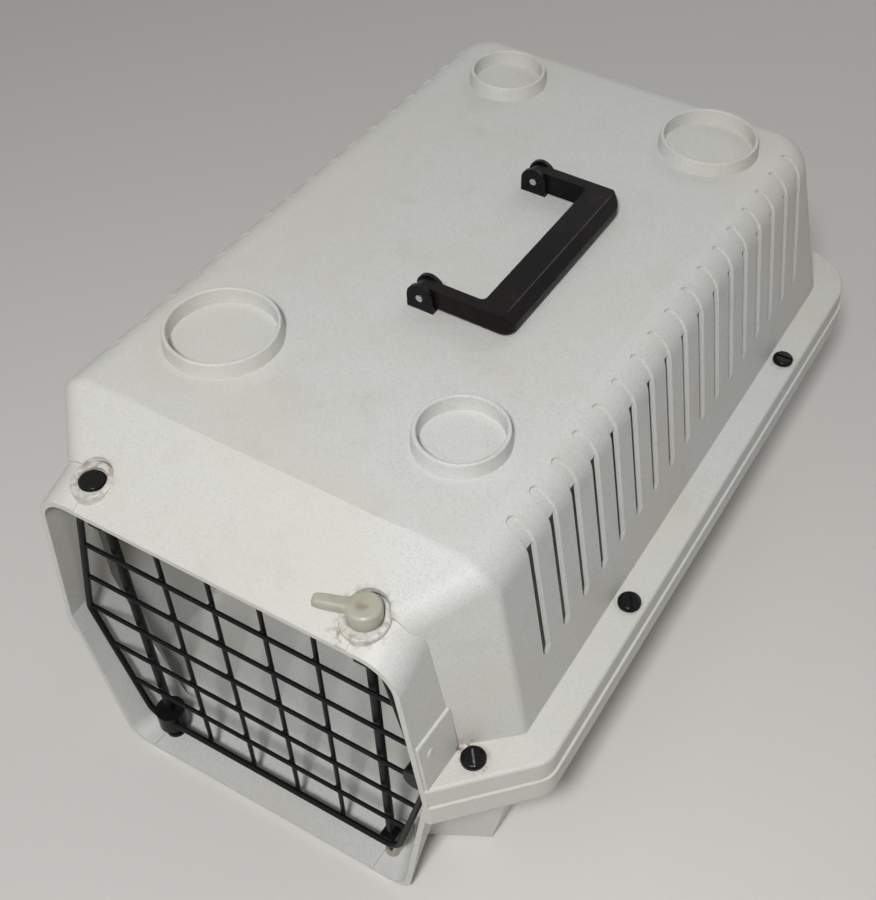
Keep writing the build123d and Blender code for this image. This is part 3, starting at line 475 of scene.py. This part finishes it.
# %% Milky nylon of the latch, stained in the lever's dimple
NYLON, DARKER_NYLON = (0.40, 0.41, 0.33, 1.0), (0.32, 0.31, 0.23, 1.0)
STAIN = (0.25, 0.15, 0.11, 1.0)
STAINED_SPOT = {"Place": (0.0776, -0.2316, 0.2366), "Inner": 0.0010, "Outer": 0.0042}
nylon, tree, shader, place = start_material(
    "nylon", roughness=0.36, Subsurface_Weight=0.35, Subsurface_Scale=0.002, Coat_Weight=0.1
)
paint(tree, shader, place, NYLON, [
    (cloud, {"Scale": 90.0, "Low": 0.42, "High": 0.68}, DARKER_NYLON, 0.6),
    (worn_spot, STAINED_SPOT, STAIN, 0.5),
])
set_grain(tree, shader, place, scale=700.0, depth=0.00005)

# %% Bright steel of the pins
BRIGHT_STEEL, SCRATCHED_STEEL = (0.62, 0.61, 0.58, 1.0), (0.36, 0.34, 0.31, 1.0)
TARNISH = (0.30, 0.22, 0.15, 1.0)
steel, tree, shader, place = start_material("steel_pin", roughness=0.32, Metallic=1.0)
paint(tree, shader, place, BRIGHT_STEEL, [
    (cloud, {"Scale": 900.0, "Low": 0.4, "High": 0.7}, SCRATCHED_STEEL, 0.6),
    (cloud, {"Scale": 320.0, "Low": 0.5, "High": 0.7}, TARNISH, 0.3),
])

# %% [markdown]
# ### A painted highlight and a worn place
# The grip's parting line has a painted highlight in its colour, and the slot of one bolt is rubbed
# by use. Each is a piece of its own further down, so each has its own small material.

# %% Black of the grip's parting line, with lighter brown patches painted in as its highlight
SEAM_BLACK, SEAM_HIGHLIGHT_BROWN = (0.008, 0.006, 0.005, 1.0), (0.05, 0.034, 0.024, 1.0)
seam_highlight_plastic, tree, shader, place = start_material(
    "handle_seam_highlight", roughness=0.45, Specular_IOR_Level=0.3
)
paint(tree, shader, place, SEAM_BLACK, [
    (cloud, {"Scale": 160.0, "Low": 0.35, "High": 0.6}, SEAM_HIGHLIGHT_BROWN, 1.0),
])

# %% Scraped metal of the worn bolt slot
SCRAPED, UNSCRAPED = (0.30, 0.30, 0.29, 1.0), (0.10, 0.10, 0.10, 1.0)
worn_metal, tree, shader, place = start_material("worn_slot", roughness=0.42, Metallic=0.8)
paint(tree, shader, place, SCRAPED, [
    (cloud, {"Scale": 900.0, "Low": 0.4, "High": 0.62}, UNSCRAPED, 1.0),
])
print("materials", [m.name for m in bpy.data.materials])

# %% Give each solid its material
slots = {
    "shell_plastic": shell_plastic,
    "black_plastic": black_plastic,
    "handle_plastic": handle_plastic,
    "black_wire": black_wire,
    "nylon": nylon,
    "steel_pin": steel,
}
for part in frame["record"]["subparts"]:
    mesh = nodes[part["node"]].data
    mesh.materials.clear()
    mesh.materials.append(slots[part["material_slot"]])

# %% [markdown]
# ## New pieces
# Some details are too soft or too small for the measured solids. Each is a numpy surface made
# from a formula, in millimetres, and rides on the body that carries it. The helpers below turn
# arrays of points into an object, close a stack of rings, and join several shapes into one.

# %% Helpers for new pieces


def mesh_object(name, points, faces, material):
    """A smooth-shaded object from arrays of points in millimetres and faces."""
    mesh = bpy.data.meshes.new(name)
    mesh.from_pydata((np.asarray(points) * MM).tolist(), [], faces)
    mesh.polygons.foreach_set("use_smooth", [True] * len(mesh.polygons))
    mesh.materials.append(material)
    mesh.update()
    piece = bpy.data.objects.new(name, mesh)
    scene.collection.objects.link(piece)
    return piece


def ring_faces(rings, count):
    """Quads between neighbouring rings, and one face over the first and the last ring."""
    faces = []
    for ring in range(rings - 1):
        for k in range(count):
            near, far = ring * count, (ring + 1) * count
            faces.append((near + k, near + (k + 1) % count, far + (k + 1) % count, far + k))
    faces.append(tuple(reversed(range(count))))
    faces.append(tuple(range((rings - 1) * count, rings * count)))
    return faces


def gather(shapes):
    """Several shapes, each a pair of points and faces, as one such pair."""
    points, faces, first = [], [], 0
    for shape, shape_faces in shapes:
        points.append(shape)
        faces += [tuple(first + k for k in face) for face in shape_faces]
        first += len(shape)
    return np.concatenate(points), faces


# %% [markdown]
# ### The latch lever
# The lever is one nylon moulding: a drum in the boss, a stem with a snap lip below it, and an arm
# for the finger. It could be modelled by hand from a cylinder and a box, but rings whose radius
# depends on the angle give the soft blend between the arm and the drum in one surface.

# %% Sizes of the lever
LEVER_X, LEVER_Y = 78.0, -230.7
STEM_RADIUS, STEM_FOOT = 6.5, 209.8
LIP_RADIUS, LIP_TOP, LIP_SLANT = 7.3, 212.5, 0.1
LEVER_BASE, LEVER_TOP = 227.34, 236.64
DRUM_RADIUS, DRUM_FOOT_RADIUS, DRUM_FOOT_RISE = 8.3, 7.9, 0.5
ARM_ANGLE = math.radians(198.0)
ARM_LENGTH, ARM_HALF = 23.3, 3.3
ARM_ROOT_DEPTH, ARM_EDGE_DEPTH = 5.6, 4.0
UNDER_ROUND_INSET, UNDER_ROUND_HEIGHT = 1.0, 1.3
TOP_ROUND, ARM_TOP_SHARE = 2.3, 0.8
TOP_SHARES = (0.9, 0.75, 0.6, 0.48, 0.38, 0.3, 0.22, 0.14, 0.06, 0.01)
DIMPLE_DEPTH, DIMPLE_HALF_LENGTH, DIMPLE_HALF_WIDTH = 0.7, 3.4, 2.2
TOP_MARGIN = 0.2
NEAR_AXIS = 0.01

# %% Smooth latch lever


def lever_outline(angles, drum, length, half, blend=9.0, power=7):
    """Distance from the drum's axis to the lever's edge at each angle.

    The arm is a superellipse |u / length|^7 + |v / half|^7 = 1 on the arm's side of the axis,
    and the drum is a circle. The two are joined by (drum^n + arm^n)^(1/n), which leaves a small
    fillet where they meet.
    """
    u, v = np.cos(angles - ARM_ANGLE), np.sin(angles - ARM_ANGLE)
    arm = (np.abs(u / length) ** power + np.abs(v / half) ** power) ** (-1 / power)
    arm = np.where(u > 0, arm, NEAR_AXIS)
    return (drum ** blend + arm ** blend) ** (1 / blend)


def lever_surface(count=240, under_steps=5, top_steps=9):
    """The lever as a stack of rings, each a radius at every angle and a height.

    The stem, lip and drum are circles. The arm's underside and the top are rounded by a quarter
    turn t each: the inset is i (1 - sin t) below and i (1 - cos t) on top, and the height follows
    cos t and sin t. The top is closed by shrinking rings, and pressed in by a dimple of depth
    d (1 - (along / a)^2 - (across / b)^2)^1.5.
    """
    angles = np.linspace(0, 2 * np.pi, count, endpoint=False)
    circle = np.ones(count)
    rings = [(radius * circle, level) for radius, level in (
        (NEAR_AXIS, STEM_FOOT), (LIP_RADIUS, STEM_FOOT), (LIP_RADIUS, LIP_TOP),
        (STEM_RADIUS, LIP_TOP + LIP_SLANT), (STEM_RADIUS, LEVER_BASE),
        (DRUM_FOOT_RADIUS, LEVER_BASE), (DRUM_RADIUS, LEVER_BASE + DRUM_FOOT_RISE),
        (DRUM_RADIUS, LEVER_TOP - ARM_ROOT_DEPTH),
    )]
    for turn in np.linspace(0, np.pi / 2, under_steps):
        inset = UNDER_ROUND_INSET * (1 - math.sin(turn))
        edge = lever_outline(angles, DRUM_RADIUS, ARM_LENGTH - inset, ARM_HALF - inset)
        rings.append((edge, LEVER_TOP - ARM_EDGE_DEPTH - UNDER_ROUND_HEIGHT * math.cos(turn)))
    for turn in np.linspace(0, np.pi / 2, top_steps)[1:]:
        inset = TOP_ROUND * (1 - math.cos(turn))
        half = ARM_HALF - ARM_TOP_SHARE * inset
        edge = lever_outline(angles, DRUM_RADIUS - inset, ARM_LENGTH - inset, half)
        rings.append((edge, LEVER_TOP - TOP_ROUND + TOP_ROUND * math.sin(turn)))
    inner = rings[-1][0]
    rings += [(inner * share, LEVER_TOP) for share in TOP_SHARES]
    points = np.concatenate([
        np.stack([
            LEVER_X + radius * np.cos(angles), LEVER_Y + radius * np.sin(angles), level * circle
        ], 1)
        for radius, level in rings
    ])
    x, y = points[:, 0] - LEVER_X, points[:, 1] - LEVER_Y
    across = x * math.sin(ARM_ANGLE) - y * math.cos(ARM_ANGLE)
    along = x * math.cos(ARM_ANGLE) + y * math.sin(ARM_ANGLE)
    bowl = 1 - (along / DIMPLE_HALF_LENGTH) ** 2 - (across / DIMPLE_HALF_WIDTH) ** 2
    on_top = points[:, 2] > LEVER_TOP - TOP_MARGIN
    points[:, 2] -= DIMPLE_DEPTH * np.clip(bowl, 0, 1) ** 1.5 * on_top
    return points, ring_faces(len(rings), count)


lever = mesh_object("lever_moulding", *lever_surface(), nylon)
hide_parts("latch_lever")
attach(lever, "lever")
print("lever", len(lever.data.polygons), "faces")

# %% [markdown]
# ### Weld beads
# Where two wires of the door cross, resistance welding leaves a small flattened bead under the
# coating. They could be blended fillets on the wires, but one low lobed ellipsoid at each crossing
# shows the same and keeps the straight wires as they are.

# %% Weld beads of the door
BAR_PITCH, BARS = 30.5, 5
RAIL_HEIGHTS = [21.5, 204.5]
BAR_HEIGHTS = [RAIL_HEIGHTS[0] + BAR_PITCH * (row + 1) for row in range(BARS)]
UPRIGHT_PITCH, UPRIGHTS, DOOR_MIDDLE_X = 30.8, 4, 1.0
UPRIGHT_X = [DOOR_MIDDLE_X + UPRIGHT_PITCH * (k - (UPRIGHTS - 1) / 2) for k in range(UPRIGHTS)]
BEAD_Y = -233.45
BEAD_RADII = (1.9, 1.15, 1.9)
BEAD_WAVE, BEAD_LOBES = 0.06, 3
POLE_GAP = 0.05


def bead(center, radii, steps=14):
    """One flattened bead: an ellipsoid whose radii swell by 1 + w sin(3 a + x) sin(p).

    The angle a goes round the bead's axis, p runs from pole to pole, and x is the bead's place,
    which turns the lobes from bead to bead.
    """
    polar = np.linspace(POLE_GAP, np.pi - POLE_GAP, steps)
    around = np.linspace(0, 2 * np.pi, 2 * steps, endpoint=False)
    p, a = np.meshgrid(polar, around, indexing="ij")
    swell = 1 + BEAD_WAVE * np.sin(BEAD_LOBES * a + center[0]) * np.sin(p)
    shape = np.stack([np.sin(p) * np.cos(a), np.cos(p), np.sin(p) * np.sin(a)], -1)
    shape = shape * swell[..., None] * np.array(radii) + np.array(center)
    return shape.reshape(-1, 3), ring_faces(steps, 2 * steps)


bead_shapes = [
    bead((x, BEAD_Y, z), BEAD_RADII) for x in UPRIGHT_X for z in BAR_HEIGHTS + RAIL_HEIGHTS
]
beads = mesh_object("weld_beads", *gather(bead_shapes), black_wire)
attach(beads, "door")
print("beads", len(bead_shapes))

# %% [markdown]
# ### The grip's parting line
# The two halves of the mould leave a fine line along the outer side of the grip. A line in the
# colour alone would have no edge to catch the light, so it is a thin rounded bead with its own
# rougher material, whose lighter brown patches are a painted highlight along the line.

# %% Parting line along the grip, its lighter brown a painted highlight
SEAM_X, SEAM_Z, SEAM_RADIUS = 50.1, 262.45, 0.32
SEAM_START, SEAM_END = -63.0, 55.5
SEAM_TIP = 0.999


def seam_rings(steps=60, sides=10):
    """Rings of a thin rounded bead along Y, thinner at both ends: radius R (1 - t^8)^(1/2)."""
    along = np.linspace(-SEAM_TIP, SEAM_TIP, steps)
    around = np.linspace(0, 2 * np.pi, sides, endpoint=False)
    radius = SEAM_RADIUS * np.sqrt(1 - along ** 8)
    y = (SEAM_START + SEAM_END) / 2 + along * (SEAM_END - SEAM_START) / 2
    return np.concatenate([
        np.stack([SEAM_X + r * np.cos(around), np.full(sides, v), SEAM_Z - r * np.sin(around)], 1)
        for r, v in zip(radius, y)
    ]), ring_faces(steps, sides)


# The bead's lighter brown patches are a painted highlight along the grip
seam = mesh_object("handle_seam_highlight", *seam_rings(), seam_highlight_plastic)
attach(seam, "handle")
print("seam", len(seam.data.polygons), "faces")

# %% [markdown]
# ### Raised rings on the front slope
# The lever and the hinge plug each sit in a rounded ring that leans with the sloping front. A
# revolved ring would be level, so this one's height follows the sine of the angle round it.

# %% Raised rings: centre, radius, half width, half height and lean
BOSS_RINGS = {
    "latch_boss_ring": ((78.0, -230.7, 226.8), 10.2, 1.75, 1.6, 1.9),
    "hinge_boss_ring": ((-76.0, -230.7, 227.2), 8.75, 1.75, 1.5, 1.9),
}


def ring_surface(center, radius, half_width, half_height, lean, steps=96, sides=20, power=3):
    """A leaning ring with a squarish section, closed both ways.

    At the angle a the section's centre is at R from the axis and its height is z + lean sin(a).
    The section is the superellipse (|u| / w)^3 + (|v| / h)^3 = 1.
    """
    around = np.linspace(0, 2 * np.pi, steps, endpoint=False)
    section = np.linspace(0, 2 * np.pi, sides, endpoint=False)
    a, b = np.meshgrid(around, section, indexing="ij")
    cosine, sine = np.cos(b), np.sin(b)
    stretch = (np.abs(cosine) ** power + np.abs(sine) ** power) ** (-1 / power)
    reach = radius + half_width * cosine * stretch
    height = center[2] + lean * np.sin(a) + half_height * sine * stretch
    points = np.stack([center[0] + reach * np.cos(a), center[1] + reach * np.sin(a), height], -1)
    near = np.arange(steps * sides).reshape(steps, sides)
    far = np.roll(near, -1, 0)
    faces = np.stack([near, far, np.roll(far, -1, 1), np.roll(near, -1, 1)], -1).reshape(-1, 4)
    return points.reshape(-1, 3), faces.tolist()


for label, ring_values in BOSS_RINGS.items():
    raised = mesh_object(label, *ring_surface(*ring_values), shell_plastic)
    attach(raised, "shell")
print("rings", list(BOSS_RINGS))

# %% [markdown]
# ### The worn bolt slot
# The screwdriver has scraped the black off the front right bolt's slot. A thin lens of bare metal
# in the bottom of the slot shows this. A mask in the black material would also mark its walls.

# %% Bright worn slot of the front right bolt
CORNER_BOLT = (124.0, -218.3)
SLOT_TURN = math.radians(128.0)
SLOT_HALF_LENGTH, SLOT_HALF_WIDTH, SLOT_DEPTH = 5.3, 0.75, 1.35
LENS_HALF_HEIGHT, LENS_TIP = 0.25, 0.995


def slot_strip(floor_height, steps=24, sides=18):
    """A thin lens in the bottom of the bolt's slot.

    Along the slot t runs from -1 to 1, the half width is w (1 - t^6)^(1/2), and each cross
    section is a flat ellipse of that half width and a half height of h (1 - t^6)^(1/2).
    """
    along = np.linspace(-LENS_TIP, LENS_TIP, steps)
    around = np.linspace(0, 2 * np.pi, sides, endpoint=False)
    t, a = np.meshgrid(along, around, indexing="ij")
    swell = np.sqrt(1 - t ** 6)
    u, v = t * SLOT_HALF_LENGTH, SLOT_HALF_WIDTH * swell * np.cos(a)
    x = CORNER_BOLT[0] + u * math.cos(SLOT_TURN) - v * math.sin(SLOT_TURN)
    y = CORNER_BOLT[1] + u * math.sin(SLOT_TURN) + v * math.cos(SLOT_TURN)
    z = floor_height + LENS_HALF_HEIGHT * swell * np.sin(a)
    return np.stack([x, y, z], -1).reshape(-1, 3), ring_faces(steps, sides)


bolt_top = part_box("flange_screws")[1].z / MM
strip = mesh_object("worn_slot", *slot_strip(bolt_top - SLOT_DEPTH), worn_metal)
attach(strip, "shell")
print("bolt top", bolt_top)

# %% [markdown]
# ### Buttons on the pads
# Each side pad of the collar has one small round button near its lower front corner, as an
# injection point leaves. A dome of a few rings is enough for its size.

# %% Buttons on the two side pads
BUTTON_PLACE = (111.3, -235.8, 149.0)
BUTTON_RADIUS, BUTTON_RISE = 3.0, 1.1
BUTTON_TOP_GAP = 0.02


def button(side, rings=8, count=24):
    """A low dome on a side pad: radius R cos(t) and rise h sin(t), with its axis along X."""
    t = np.linspace(0, np.pi / 2 - BUTTON_TOP_GAP, rings)
    around = np.linspace(0, 2 * np.pi, count, endpoint=False)
    t, a = np.meshgrid(t, around, indexing="ij")
    radius = BUTTON_RADIUS * np.cos(t)
    x = side * (BUTTON_PLACE[0] + BUTTON_RISE * np.sin(t))
    y = BUTTON_PLACE[1] + side * radius * np.cos(a)
    z = BUTTON_PLACE[2] + radius * np.sin(a)
    return np.stack([x, y, z], -1).reshape(-1, 3), ring_faces(rings, count)


for side, label in ((-1, "left"), (1, "right")):
    mark = mesh_object("pad_button_" + label, *button(side), shell_plastic)
    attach(mark, "shell")
print("buttons", BUTTON_RADIUS, "mm in radius")
